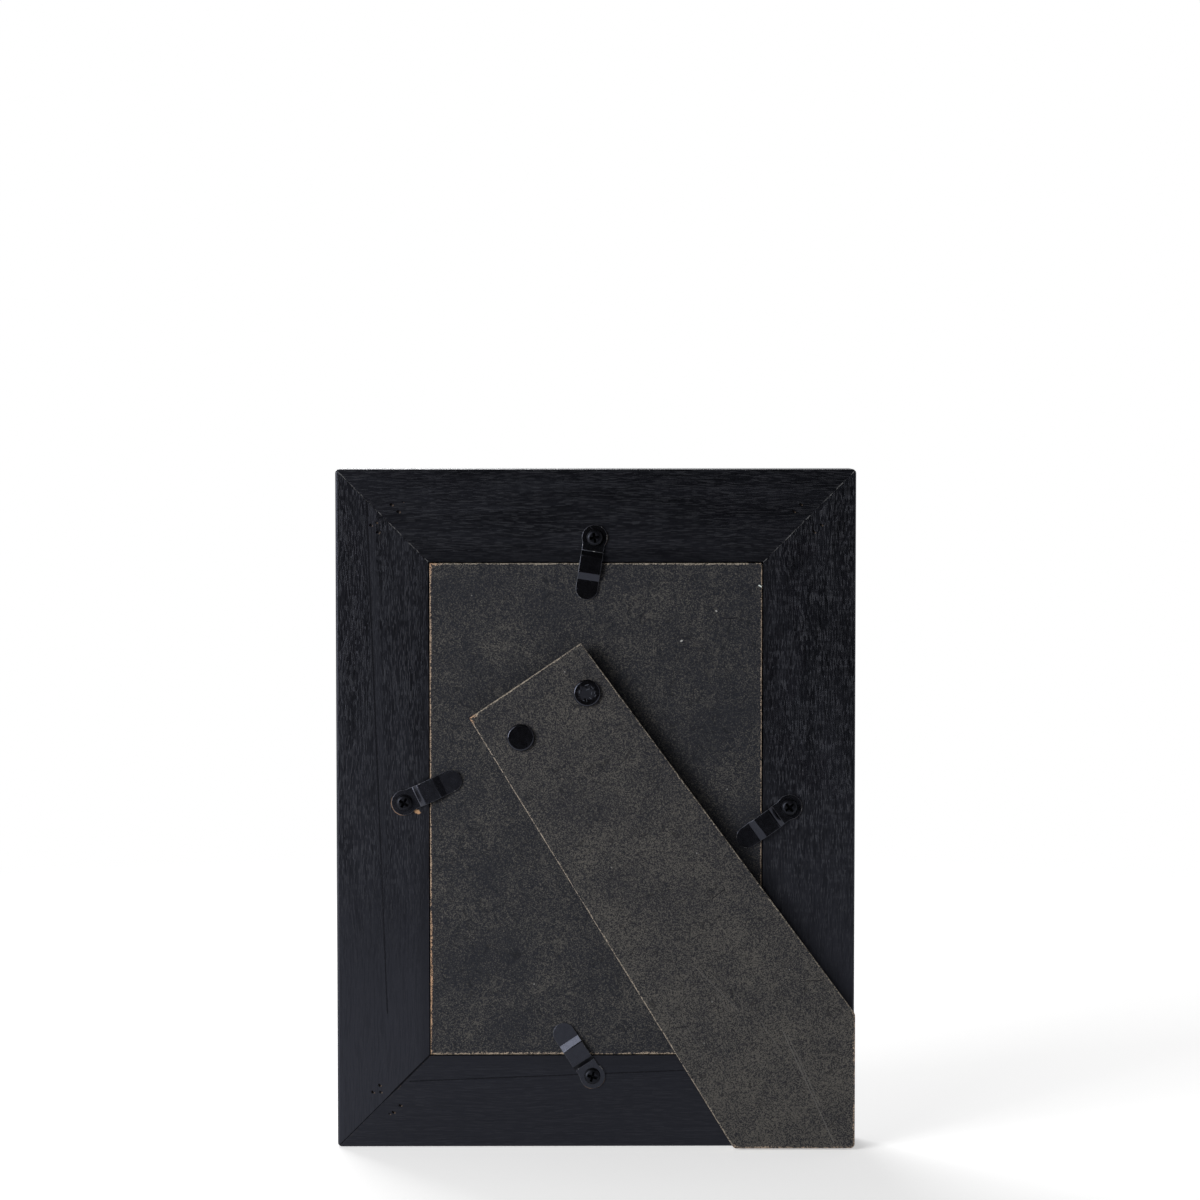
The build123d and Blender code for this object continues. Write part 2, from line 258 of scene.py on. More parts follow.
world = bpy.data.worlds.new("white_surroundings")
bpy.context.scene.world = world
world.use_nodes = True
world.node_tree.nodes.clear()
tree = world.node_tree
soft_light = add(tree, "Background", {"Color": rgb(1, 1, 1), "Strength": 0.32})
white = add(tree, "Background", {"Color": rgb(1, 1, 1), "Strength": 1.0})
either = add(tree, "MixShader", {0: seen_directly(tree), 1: soft_light.outputs[0], 2: white.outputs[0]})
put(tree, either.outputs[0], add(tree, "OutputWorld").inputs["Surface"])

floor = flat_stage("floor", [(-4, -4, 0), (4, -4, 0), (4, 4, 0), (-4, 4, 0)], [(0, 1, 2, 3)])
floor_finish = bpy.data.materials.new("pale_table")
floor_finish.use_nodes = True
floor_finish.node_tree.nodes.clear()
tree = floor_finish.node_tree
matt = add(tree, "BsdfDiffuse", {"Color": rgb(0.86, 0.86, 0.86)})
lift = add(tree, "Emission", {"Strength": times(tree, seen_directly(tree), 0.45)})
near = add(tree, "AddShader", {0: matt.outputs[0], 1: lift.outputs[0]})
white = add(tree, "Emission", {"Strength": 1.0})
position = add(tree, "TexCoord").outputs["Object"]
far = times(tree, fade(tree, measure(tree, "LENGTH", position), 0.25, 0.7), seen_directly(tree))
both = add(tree, "MixShader", {0: far, 1: near.outputs[0], 2: white.outputs[0]})
put(tree, both.outputs[0], add(tree, "OutputMaterial").inputs["Surface"])
floor.data.materials.append(floor_finish)

cloth_side, cloth_near, cloth_far, cloth_back = 1.7, 0.42, 1.5, -0.4
cloth_low, cloth_top, cloth_right = 0.004, 2.2, 0.8
folds = ((cloth_near, cloth_low), (cloth_far, cloth_low), (cloth_far, cloth_top), (cloth_back, cloth_top))
cloth_corners = [(x, y, z) for y, z in folds for x in (-cloth_side, cloth_side)]
cloth_corners += [(-cloth_side, cloth_right, cloth_low), (-cloth_side, cloth_right, cloth_top)]
cloth_faces = [(0, 1, 3, 2), (2, 3, 5, 4), (4, 5, 7, 6), (8, 2, 4, 9)]
dark_cloth = flat_stage("dark_cloth", cloth_corners, cloth_faces)
dark_cloth.visible_camera = False
dark_cloth.visible_shadow = False
cloth_finish, tree, shader, position = new_finish("dark_cloth_weave")
weave = cloud(tree, position, (900.0, 900.0, 900.0), 2.0)
put(tree, mix(tree, weave, rgb(0.009, 0.009, 0.010), rgb(0.015, 0.015, 0.017)), shader.inputs["Base Color"])
shader.inputs["Specular IOR Level"].default_value = 0.0
dark_cloth.data.materials.append(cloth_finish)


def softbox(name, place, aim, size, watts):
    """A square soft lamp at a place, turned to what it lights."""
    lamp_data = bpy.data.lights.new(name, "AREA")
    lamp_data.size = size
    lamp_data.energy = watts
    lamp = new_object(name, lamp_data)
    lamp.location = place
    lamp.rotation_euler = (Vector(aim) - Vector(place)).to_track_quat("-Z", "Y").to_euler()
    lamp.visible_camera = False


middle = (0.0, 0.0, 0.1)
softbox("left_softbox", (0.92, 0.80, 0.35), middle, 0.6, 13.0)
softbox("upper_softbox", (0.55, 0.90, 0.70), middle, 0.35, 2.0)
softbox("picture_side_softbox", (0.4, -1.1, 0.9), middle, 0.8, 13.0)
print("stage and lamps are set")

# %% [markdown]
# ## Effects that several finishes share
# Wood grain, pressed fibre, scratches, strokes and specks each come back on more than one
# piece, so each is a node group, built once and placed with its own values.
# Grain is noise drawn out along the board: short pale dashes of raised fibre, partly a painted
# highlight of light catching the fibre, thin dark pores between them, broad clouds where the
# stain took unevenly, and the ripple that a planer leaves.

# %% Group: wood grain
tree, given, out = new_group(
    "wood_grain",
    [("Position", "Vector"), ("Seed", "Float")],
    ["Streak", "Pore", "Cloud", "Ripple"],
)
drift = cloud(tree, given["Position"], (22.0, 60.0, 60.0), given["Seed"])
sideways = calc(tree, "MULTIPLY_ADD", drift, 0.006, -0.003)
bent = vec(tree, "ADD", given["Position"], add(tree, "CombineXYZ", {"Y": sideways}).outputs[0])
dashes = grains(tree, bent, (650.0, 6200.0, 6200.0), given["Seed"])
patches = cloud(tree, bent, (60.0, 900.0, 900.0), given["Seed"], 2.0)
dashes = calc(tree, "MULTIPLY_ADD", patches, 0.5, calc(tree, "SUBTRACT", dashes, 0.25))
put(tree, fade(tree, dashes, 0.60, 0.92), out["Streak"])
lines = cloud(tree, bent, (90.0, 2000.0, 2000.0), given["Seed"], 1.0)
put(tree, fade(tree, lines, 0.40, 0.52, 1.0, 0.0), out["Pore"])
put(tree, cloud(tree, bent, (30.0, 170.0, 170.0), given["Seed"], 2.5), out["Cloud"])
ripples = cloud(tree, given["Position"], (620.0, 150.0, 150.0), given["Seed"], 1.0)
put(tree, fade(tree, ripples, 0.38, 0.60), out["Ripple"])
wood_grain = tree
print("group:", tree.name)

# %% [markdown]
# Hardboard is fibre pressed flat. Its coat is thin, so pale fibre shows through it as fine
# grain and short hairs, lying in every direction and thicker in some places than in others.
# Pale hairs and dark strands, each lying two ways, over round grain give that.

# %% Group: pressed fibre
tree, given, out = new_group(
    "pressed_fibre",
    [("Position", "Vector"), ("Seed", "Float")],
    ["Grain", "Hair", "Strand", "Cloud"],
)
fine = grains(tree, given["Position"], (4200.0, 4200.0, 4200.0), given["Seed"])
soft = cloud(tree, given["Position"], (1300.0, 1300.0, 1300.0), given["Seed"], 2.0)
put(tree, calc(tree, "MULTIPLY_ADD", fine, 0.62, times(tree, soft, 0.38)), out["Grain"])
sockets = {"Vector": given["Position"], "Scale": 160.0, "Detail": 1.0}
swirl = vec(tree, "SUBTRACT", add(tree, "TexNoise", sockets).outputs["Color"], (0.5, 0.5, 0.5))
curled = vec(tree, "ADD", given["Position"], vec(tree, "MULTIPLY", swirl, (0.012, 0.0, 0.012)))
for label, angles, cut in (("Hair", (0.5, 1.9), 0.66), ("Strand", (1.2, 2.7), 0.68)):
    lying = []
    for angle in angles:
        sockets = {"Vector": curled, "Axis": (0.0, 1.0, 0.0), "Angle": angle}
        turned = add(tree, "VectorRotate", sockets).outputs[0]
        threads = cloud(tree, turned, (240.0, 1500.0, 1500.0), given["Seed"], 0.0)
        lying.append(fade(tree, threads, cut, cut + 0.08))
    put(tree, calc(tree, "MAXIMUM", *lying), out[label])
put(tree, cloud(tree, given["Position"], (70.0, 70.0, 70.0), given["Seed"], 5.0), out["Cloud"])
pressed_fibre = tree
print("group:", tree.name)

# %% [markdown]
# Scratches are thin lines that follow the way a thing was rubbed. Noise drawn out very far
# along one direction, and cut off so that only its peaks are left, makes them. Specks are
# the few cells of a random pattern that are kept, each with a dot in its middle.

# %% Groups: fine scratches and specks
tree, given, out = new_group(
    "fine_scratches",
    [("Position", "Vector"), ("Angle", "Float"), ("Seed", "Float")],
    ["Scratch"],
)
sockets = {"Vector": given["Position"], "Axis": (0.0, 1.0, 0.0), "Angle": given["Angle"]}
lines = cloud(tree, add(tree, "VectorRotate", sockets).outputs[0], (30.0, 300.0, 1900.0), given["Seed"], 1.0)
places = fade(tree, cloud(tree, given["Position"], (40.0, 40.0, 40.0), given["Seed"], 1.0), 0.42, 0.62)
put(tree, times(tree, fade(tree, lines, 0.64, 0.74), places), out["Scratch"])
fine_scratches = tree

tree, given, out = new_group("specks", [("Position", "Vector"), ("Share", "Float")], ["Speck"])
cells = add(tree, "TexVoronoi", {"Vector": given["Position"], "Scale": 420.0}).outputs
kept = calc(tree, "LESS_THAN", xyz(tree, cells["Color"])[0], given["Share"])
put(tree, times(tree, kept, fade(tree, cells["Distance"], 0.06, 0.12, 1.0, 0.0)), out["Speck"])
specks = tree
print("groups:", fine_scratches.name, specks.name)

# %% [markdown]
# Single marks, such as a seam between glued boards, a dark hair in the coat or a chip beside a
# button, have a known place. Each is a stroke from one point to another with ragged sides: the
# nearest place on its line is found, and the stroke ends a little sooner or later from there.

# %% Group: ragged stroke
tree, given, out = new_group(
    "ragged_stroke",
    [("Position", "Vector"), ("Start", "Vector"), ("End", "Vector"), ("Width", "Float")],
    ["Mask"],
)
run = vec(tree, "SUBTRACT", given["End"], given["Start"])
offset = vec(tree, "SUBTRACT", given["Position"], given["Start"])
depth = calc(tree, "ABSOLUTE", xyz(tree, offset)["Y"])
flat = vec(tree, "MULTIPLY", offset, (1.0, 0.0, 1.0))
share = calc(tree, "DIVIDE", measure(tree, "DOT_PRODUCT", flat, run), measure(tree, "DOT_PRODUCT", run, run))
share = add(tree, "Clamp", {"Value": share}).outputs[0]
nearest = add(tree, "VectorMath", {0: run, "Scale": share}, operation="SCALE").outputs[0]
apart = measure(tree, "DISTANCE", flat, nearest)
ragged = cloud(tree, given["Position"], (1300.0, 1300.0, 1300.0), 9.0, 3.0)
swell = calc(tree, "MAXIMUM", calc(tree, "MULTIPLY_ADD", ragged, 2.4, -0.2), 0.1)
reach = times(tree, given["Width"], swell)
inside = fade(tree, apart, times(tree, reach, 0.5), reach, 1.0, 0.0)
put(tree, times(tree, inside, fade(tree, depth, 0.8 * MM, 1.2 * MM, 1.0, 0.0)), out["Mask"])
ragged_stroke = tree
print("group:", tree.name)

# %% [markdown]
# A finish then takes a list of such strokes, one after another, each over the colour so far.

# %% Drawing marks on a finish
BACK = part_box("left_stile")[1].y


def draw_marks(tree, position, colour, level, marks):
    """Strokes over a colour, and where they lie. Each: ends and half width in mm, colour, strength."""
    covered = 0.0
    for (x0, z0), (x1, z1), half, shade, strength in marks:
        start, end = (x0 * MM, level, z0 * MM), (x1 * MM, level, z1 * MM)
        stroke = placed(tree, ragged_stroke, Position=position, Start=start, End=end, Width=half * MM)
        mask = times(tree, stroke["Mask"], strength)
        colour = mix(tree, mask, colour, rgb(*shade))
        covered = calc(tree, "MAXIMUM", covered, mask)
    return colour, covered


# %% [markdown]
# ## Four lengths of moulding
# Two rails and two stiles meet in mitres. The stain is a bluish black that leaves the open
# grain showing as paler dashes, partly a painted highlight on raised fibre, strong on the stiles
# and fainter on the rails.
# The shapes come from the model, and only the finish is made here. Each board has its own
# grain, so each gets its own material.
# A mitre shows as a thin line: a pale broken painted highlight at the top corners, where light
# would catch the arris, and a dark line at the lower ones that opens near the panel and shows
# crumbs of bare wood. The line is found from how far a point is from each corner's slanting plane.

# %% Group: mitre line
half_width, height = cad_box[1].x, cad_box[1].z
tree, given, out = new_group("mitre_line", [("Position", "Vector")], ["Pale", "Gap", "Crumb"])
place = xyz(tree, given["Position"])
from_side = calc(tree, "SUBTRACT", half_width, calc(tree, "ABSOLUTE", place["X"]))
from_top = calc(tree, "SUBTRACT", height, place["Z"])
ragged = cloud(tree, given["Position"], (1300.0, 1300.0, 1300.0), 3.0, 3.0)
waver = cloud(tree, given["Position"], (300.0, 300.0, 300.0), 4.0)
waver = calc(tree, "MULTIPLY_ADD", waver, 0.5 * MM, -0.25 * MM)
off_upper = calc(tree, "ABSOLUTE", calc(tree, "ADD", calc(tree, "SUBTRACT", from_side, from_top), waver))
# The pale line on the upper mitres is a painted highlight.
broken = fade(tree, cloud(tree, given["Position"], (520.0, 520.0, 520.0), 5.0, 2.0), 0.42, 0.60)
reach = calc(tree, "MAXIMUM", calc(tree, "MULTIPLY_ADD", ragged, 0.9 * MM, -0.22 * MM), 0.02 * MM)
painted_highlight = fade(tree, off_upper, times(tree, reach, 0.5), reach, 1.0, 0.0)
put(tree, times(tree, painted_highlight, broken), out["Pale"])
past_lower = calc(tree, "SUBTRACT", from_side, place["Z"])
off_lower = calc(tree, "ABSOLUTE", past_lower)
opened = fade(tree, place["Z"], 13.0 * MM, 20.0 * MM, 0.22 * MM, 0.55 * MM)
reach = calc(tree, "ADD", opened, calc(tree, "MULTIPLY_ADD", ragged, 0.5 * MM, -0.22 * MM))
reach = calc(tree, "MAXIMUM", reach, 0.02 * MM)
put(tree, fade(tree, off_lower, times(tree, reach, 0.6), reach, 1.0, 0.0), out["Gap"])
beside = fade(tree, past_lower, 0.30 * MM, 0.45 * MM)
beside = times(tree, beside, fade(tree, past_lower, 0.65 * MM, 0.95 * MM, 1.0, 0.0))
crumbs = fade(tree, cloud(tree, given["Position"], (800.0, 800.0, 800.0), 6.0), 0.56, 0.66)
put(tree, times(tree, beside, crumbs), out["Crumb"])
mitre_line = tree
print("group:", tree.name)

# %% [markdown]
# The corners are held by V-nails driven from behind. They are sunk and stained over, and what
# is left to see is a pit over the end of each wing, with a crumb of bare wood on one side.
# Turning the buttons has rubbed the stain off beside their pads, in a thin crescent.

# %% Groups: nail pit and rubbed crescent
tree, given, out = new_group(
    "nail_pit",
    [("Position", "Vector"), ("Centre", "Vector"), ("Size", "Float")],
    ["Pit", "Crumb"],
)
ragged = cloud(tree, given["Position"], (1500.0, 1500.0, 1500.0), 7.0, 3.0)
swell = calc(tree, "MAXIMUM", calc(tree, "MULTIPLY_ADD", ragged, 3.2, -0.2), 0.1)
size = times(tree, given["Size"], swell)
apart = measure(tree, "DISTANCE", given["Position"], given["Centre"])
put(tree, fade(tree, apart, times(tree, size, 0.6), size, 1.0, 0.0), out["Pit"])
aside = vec(tree, "ADD", given["Centre"], (-0.5 * MM, 0.0, -0.25 * MM))
apart = measure(tree, "DISTANCE", given["Position"], aside)
size = times(tree, size, 0.6)
put(tree, fade(tree, apart, times(tree, size, 0.6), size, 1.0, 0.0), out["Crumb"])
nail_pit = tree

tree, given, out = new_group(
    "rubbed_crescent",
    [("Position", "Vector"), ("Centre", "Vector"), ("Radius", "Float"), ("Toward", "Vector")],
    ["Mask"],
)
offset = vec(tree, "SUBTRACT", given["Position"], given["Centre"])
ragged = cloud(tree, given["Position"], (700.0, 700.0, 700.0), 8.0, 3.0)
facing = measure(tree, "DOT_PRODUCT", vec(tree, "NORMALIZE", offset), given["Toward"])
facing = fade(tree, facing, 0.35, 0.85)
past = calc(tree, "SUBTRACT", measure(tree, "LENGTH", offset), given["Radius"])
thick = times(tree, calc(tree, "MAXIMUM", calc(tree, "SUBTRACT", ragged, 0.1), 0.05), 0.55 * MM)
inside = fade(tree, past, times(tree, thick, 0.6), thick, 1.0, 0.0)
put(tree, times(tree, inside, facing), out["Mask"])
rubbed_crescent = tree
print("groups:", nail_pit.name, rubbed_crescent.name)


# %% [markdown]
# One function makes the stain of a board. It turns the grain to run along the board, then lays
# over it a painted shade beside the panel, the mitre lines with a painted highlight on the upper
# ones, marks, nail pits and the place where a button has rubbed, and on the stiles a painted
# sheen towards the foot. Hollows and marks get rough too, so that they don't shine.

# %% Stained wood
REBATE_X, REBATE_Z = 51.5 * MM, 76.5 * MM  # half the opening that takes the panel
PAD_RADIUS = 3.9 * MM  # round pad of a turn button, under its screw


def stained_wood(board, upright, seed, dash, streak, ripple, pits, rub=None, smooth=None, marks=()):
    """Black stain on one board: grain along it, mitre lines, nail pits and where the stain is gone."""
    material, tree, shader, position = new_finish(board + "_stain")
    place = xyz(tree, position)
    along, across = (place["Z"], place["X"]) if upright else (place["X"], place["Z"])
    along = calc(tree, "DIVIDE", along, dash)
    grain_place = add(tree, "CombineXYZ", {"X": along, "Y": across, "Z": place["Y"]}).outputs[0]
    grain = placed(tree, wood_grain, Position=grain_place, Seed=seed)
    rippled = fade(tree, grain["Ripple"], 0.0, 1.0, 1.0 - ripple, 1.0)
    raised_fibre_and_glint = times(tree, times(tree, grain["Streak"], rippled), streak)
    pore = times(tree, grain["Pore"], min(1.0, 0.35 + streak))
    colour = mix(tree, grain["Cloud"], rgb(0.0018, 0.0019, 0.0026), rgb(0.0056, 0.0058, 0.0076))
    if smooth:
        open_grain_else_sheen = fade(tree, place["Z"], *smooth)
        raised_fibre_and_glint = times(tree, raised_fibre_and_glint, fade(tree, open_grain_else_sheen, 0.0, 1.0, 0.18, 1.0))
        pore = times(tree, pore, fade(tree, open_grain_else_sheen, 0.0, 1.0, 0.42, 1.0))
        # Painted sheen: towards the foot the colour turns lighter, as the reflection of the white floor
        # below; the grain closes there too.
        colour = mix(tree, open_grain_else_sheen, rgb(0.0100, 0.0104, 0.0135), colour)
    colour = mix(tree, pore, colour, rgb(0.0008, 0.0008, 0.0011))
    # Raised fibre: pale dashes, partly a painted highlight of light catching the fibre.
    colour = mix(tree, raised_fibre_and_glint, colour, rgb(0.036, 0.037, 0.042))
    beside_x = calc(tree, "SUBTRACT", calc(tree, "ABSOLUTE", place["X"]), REBATE_X)
    beside_z = calc(tree, "ABSOLUTE", calc(tree, "SUBTRACT", place["Z"], 0.5 * height))
    beside = calc(tree, "MAXIMUM", beside_x, calc(tree, "SUBTRACT", beside_z, REBATE_Z))
    # Painted shade: the wood is darker within 5 mm of the panel, where the panel's edge shades it.
    colour = mix(tree, fade(tree, beside, 0.5 * MM, 5.0 * MM, 0.6, 0.0), colour, rgb(0.0018, 0.0019, 0.0024))
    mitre = placed(tree, mitre_line, Position=position)
    # Painted highlight along the upper mitres, where light would catch the broken arris.
    colour = mix(tree, times(tree, mitre["Pale"], 0.8), colour, rgb(0.150, 0.150, 0.152))
    colour = mix(tree, mitre["Gap"], colour, rgb(0.0008, 0.0007, 0.0006))
    crumb = times(tree, mitre["Crumb"], fade(tree, place["Z"], 16.0 * MM, 21.0 * MM, 0.15, 0.8))
    colour = mix(tree, crumb, colour, rgb(0.075, 0.052, 0.032))
    colour, marked = draw_marks(tree, position, colour, BACK, marks)
    hollow = calc(tree, "MAXIMUM", mitre["Gap"], marked)
    for x, z, size in pits:
        pit = placed(tree, nail_pit, Position=position, Centre=(x * MM, BACK, z * MM), Size=size * MM)
        colour = mix(tree, pit["Crumb"], colour, rgb(0.085, 0.060, 0.040))
        colour = mix(tree, pit["Pit"], colour, rgb(0.0006, 0.0005, 0.0004))
        hollow = calc(tree, "MAXIMUM", hollow, pit["Pit"])
    if rub:
        x, z, toward_x, toward_z, strength = rub
        centre, toward = (x * MM, BACK, z * MM), (toward_x, 0.0, toward_z)
        values = {"Position": position, "Centre": centre, "Radius": PAD_RADIUS, "Toward": toward}
        worn = placed(tree, rubbed_crescent, **values)
        colour = mix(tree, times(tree, worn["Mask"], strength), colour, rgb(0.30, 0.18, 0.10))
    put(tree, colour, shader.inputs["Base Color"])
    rough = fade(tree, grain["Cloud"], 0.3, 0.7, 0.33, 0.42)
    put(tree, calc(tree, "MAXIMUM", rough, hollow), shader.inputs["Roughness"])
    shader.inputs["Specular IOR Level"].default_value = 0.34
    shader.inputs["Specular Tint"].default_value = rgb(0.75, 0.79, 1.0)
    relief = calc(tree, "SUBTRACT", times(tree, raised_fibre_and_glint, 0.8), times(tree, pore, 0.5))
    emboss(tree, shader, relief, strength=0.5, depth=0.05 * MM)
    give_finish(board, material)


# %% [markdown]
# Each board with its own marks. The left stile is glued from two strips, so a straight dark
# seam runs down it, and the bottom rail has such a seam too. On both stiles the grain is open at
# the top and closes towards the foot, where the colour is painted lighter as a sheen of the white
# floor below. Beside the left button bare wood shows.

# %% Staining the boards
seam_shade, chip_shade, slit_shade = (0.0012, 0.0012, 0.0014), (0.42, 0.25, 0.14), (0.0005, 0.0005, 0.0005)
stained_wood(
    "left_stile", upright=True, seed=1.0, dash=1.0, streak=0.62, ripple=0.15,
    pits=[
        (69.15, 192.85, 0.42), (67.0, 190.7, 0.5), (67.6, 193.7, 0.35),
        (69.15, 17.15, 0.38), (67.0, 19.3, 0.4), (66.8, 17.2, 0.4),
    ],
    rub=(59.1, 107.3, 0.80, -0.60, 0.9),
    smooth=(0.035, 0.115),
    marks=[
        ((69.2, 200.0), (65.8, 90.0), 2.4, seam_shade, 0.55),
        ((70.4, 200.0), (66.4, 93.0), 0.38, seam_shade, 0.95),
        ((66.4, 93.0), (64.5, 41.8), 0.30, seam_shade, 0.90),
        ((70.4, 200.0), (70.0, 195.6), 0.42, slit_shade, 1.0),
        ((56.4, 105.3), (54.6, 104.2), 0.70, chip_shade, 1.0),
    ],
)
stained_wood(
    "top_rail", upright=False, seed=2.0, dash=1.5, streak=0.46, ripple=0.0,
    pits=[
        (62.85, 199.15, 0.42), (60.7, 197.0, 0.52), (59.4, 200.0, 0.22),
        (-62.85, 199.15, 0.3), (-60.7, 197.0, 0.3),
    ],
    rub=(0.4, 189.0, -0.78, -0.62, 0.35),
)
stained_wood(
    "right_stile", upright=True, seed=3.0, dash=1.0, streak=0.90, ripple=0.55,
    pits=[(-69.15, 192.85, 0.32), (-67.0, 190.7, 0.3), (-69.15, 17.15, 0.38), (-67.0, 19.3, 0.4)],
    rub=(-59.7, 105.8, -0.9, -0.43, 0.2),
    smooth=(0.020, 0.125),
)
stained_wood(
    "bottom_rail", upright=False, seed=4.0, dash=2.0, streak=0.20, ripple=0.0,
    pits=[
        (62.85, 10.85, 0.4), (60.7, 13.0, 0.42), (64.1, 10.4, 0.3),
        (-62.85, 10.85, 0.4), (-60.7, 13.0, 0.4),
    ],
    rub=(1.1, 22.2, -0.35, -0.94, 0.5),
    marks=[((57.6, 20.5), (-27.1, 23.8), 0.27, seam_shade, 0.92)],
)
print("stained the rails and stiles")

# %% [markdown]
# ## Back panel and easel leg
# Both are cut from thin hardboard with a dark coat. The saw leaves bare tan fibre at the
# edges, and handling wears the coat back from them unevenly.
# A plain solid with a painted edge would look too clean. So each sheet is built as rings of
# points round its outline, which is read from the model: the face ends in a frayed arris and
# the bare edge drops away from it. Two values stay on the points for the finish: how bare the
# fibre is, which grows from nothing some way in to full at the edge, and how warm its colour.


# %% Outline and holes of a flat piece
def outline_of(node_name, step=0.5 * MM):
    """Points round a flat, convex piece seen from behind, the way inwards at each, and the room there."""
    places = [(v.co.x, v.co.z) for v in nodes[node_name].data.vertices]
    hull = [Vector(places[i]) for i in geometry.convex_hull_2d(places)]
    corners = [c for c, last in zip(hull, hull[-1:] + hull[:-1]) if (c - last).length > 0.02 * MM]
    sides = list(zip(corners, corners[1:] + corners[:1]))
    centre = sum(corners, Vector((0.0, 0.0))) / len(corners)

    def inwards(along):
        across = Vector((along.y, -along.x)).normalized()
        return across if across.dot(centre - start) > 0 else -across

    points, walls = [], []
    for start, end in sides:
        count = max(1, round((end - start).length / step))
        points += [start.lerp(end, i / count) for i in range(count)]
        walls.append((start, inwards(end - start)))
    rows = []
    for before, start, after in zip(points[-1:] + points[:-1], points, points[1:] + points[:1]):
        inward = inwards(after - before)
        room = 3.0 * MM
        while room > 0.03 * MM and min((start + inward * room - w).dot(n) for w, n in walls) < 0.95 * room:
            room *= 0.85
        rows.append((start, inward, room))
    return rows


def holes_in(node_name):
    """Centre and radius of each round hole through a flat piece, at its outer face."""
    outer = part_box(node_name)[1].y
    on_face = [v.co for v in nodes[node_name].data.vertices if v.co.y > outer - 0.01 * MM]
    rim = {(round(place.x, 6), round(place.z, 6)) for place in on_face}
    edge = [row[0] for row in outline_of(node_name)]
    inner = [Vector(p) for p in sorted(rim) if min((Vector(p) - e).length for e in edge) > 1.5 * MM]
    rounds = []
    for point in inner:
        home = next((r for r in rounds if (r[0] - point).length < 6 * MM), None)
        if home is None:
            rounds.append([point])
        else:
            home.append(point)
    centres = [sum(r, Vector((0.0, 0.0))) / len(r) for r in rounds]
    return [(centre, (r[0] - centre).length) for centre, r in zip(centres, rounds)]


leg_holes = holes_in("easel_leg")
print("leg holes:", [(round(c.x, 4), round(c.y, 4), round(r, 5)) for c, r in leg_holes])


# %% [markdown]
# The sheet is closed all round, also in its rivet holes, so that it stays whole when the leg is
# opened and its inner side shows. Smooth noise along the outline makes the wear uneven.

# %% A sheet with worn edges
def worn_sheet(name, node_name, body, wear_at, pocket=None):
    """Hardboard with frayed edges. wear_at gives the worn width in mm, how bare it is and its warmth."""
    low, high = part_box(node_name)
    bm = bmesh.new()
    bare_layer = bm.verts.layers.float.new("bare")
    warm_layer = bm.verts.layers.float.new("warm")

    def corner(x, y, z, bare, warm):
        vert = bm.verts.new((x, y, z))
        vert[bare_layer] = bare
        vert[warm_layer] = warm
        return vert

    edges = {"top": [], "bottom": []}

    def skin(loops):
        """Faces from each loop to the next. The edges of the first and last are kept, to be filled."""
        for outer, inner in zip(loops, loops[1:]):
            for i in range(len(outer)):
                j = (i + 1) % len(outer)
                bm.faces.new((outer[i], outer[j], inner[j], inner[i]))
        for label, loop in (("top", loops[0]), ("bottom", loops[-1])):
            edges[label] += [bm.edges.get((a, b)) for a, b in zip(loop, loop[1:] + loop[:1])]

    rings = [[] for _ in range(6)]
    for point, inward, room in outline_of(node_name):
        width, edge_bare, warm = wear_at(point.x / MM, point.y / MM)
        slow = noise.noise(Vector((point.x * 140, point.y * 140, 4.2)))
        quick = noise.noise(Vector((point.x * 900, point.y * 900, 1.7)))
        frayed = 0.05 * MM * noise.noise(Vector((point.x * 1300, point.y * 1300, 8.3)))
        reach = min(0.8 * room, max(0.3, 2.2 * width * (1.0 + 0.5 * slow)) * MM)
        edge_bare = 1.2 * edge_bare * (1.0 + 0.75 * quick + 0.35 * slow)
        ease = min(0.12 * MM, 0.4 * reach)
        steps = (
            (reach, high.y, 0.0),
            (ease + max(0.0, frayed), high.y - 0.01 * MM, edge_bare),
            (0.3 * ease, high.y - 0.05 * MM + 0.5 * frayed, edge_bare + 0.1),
            (0.0, high.y - 0.14 * MM, edge_bare + 0.2),
            (0.0, low.y + 0.12 * MM, 1.0),
            (ease, low.y, 0.4),
        )
        for ring, (inset, y, bare) in zip(rings, steps):
            place = point + inward * inset
            ring.append(corner(place.x, y, place.y, bare, warm))
    skin(rings)
    hole_points = 32
    turns = [2 * math.pi * i / hole_points for i in range(hole_points)]
    for centre, radius in holes_in(node_name):
        levels = [(radius, high.y), (radius, low.y)]
        if pocket:
            wide, deep = pocket
            levels[1:] = [(radius, low.y + deep), (wide, low.y + deep), (wide, low.y)]
        loops = []
        for size, y in levels:
            round_places = [(centre.x + size * math.cos(t), y, centre.y + size * math.sin(t)) for t in turns]
            loops.append([corner(*p, 0.0, 0.0) for p in round_places])
        skin(loops)
    bmesh.ops.triangle_fill(bm, edges=edges["top"], use_beauty=True, normal=(0, 1, 0))
    bmesh.ops.triangle_fill(bm, edges=edges["bottom"], use_beauty=True, normal=(0, -1, 0))
    bmesh.ops.recalc_face_normals(bm, faces=bm.faces)
    mesh = bpy.data.meshes.new(name)
    bm.to_mesh(mesh)
    open_edges = sum(1 for e in bm.edges if not e.is_manifold)
    bm.free()
    sheet = new_object(name, mesh)
    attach(sheet, body)
    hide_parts(node_name)
    print(name, "has", len(mesh.polygons), "faces,", open_edges, "open edges")
    return sheet


# %% [markdown]
# Where the wear is, is given in the rules below. The panel is barest along its left edge, and its
# fibre is warmest low down there and at the upper left corner. The leg is barest at the left end of
# its top edge. Each rule gives three values for a place on the edge.

# %% Panel and leg
panel_low, panel_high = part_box("back_panel")
leg_top_left, leg_top_right = (38.8, 133.8), (4.6, 156.8)  # ends of the leg's top edge, in mm
inwards_x, inwards_z = 0.805, -0.593  # square to the leg's right long edge
foot_side, foot_low = -79.0, 1.6  # past these, in mm, an edge belongs to the foot's two cuts


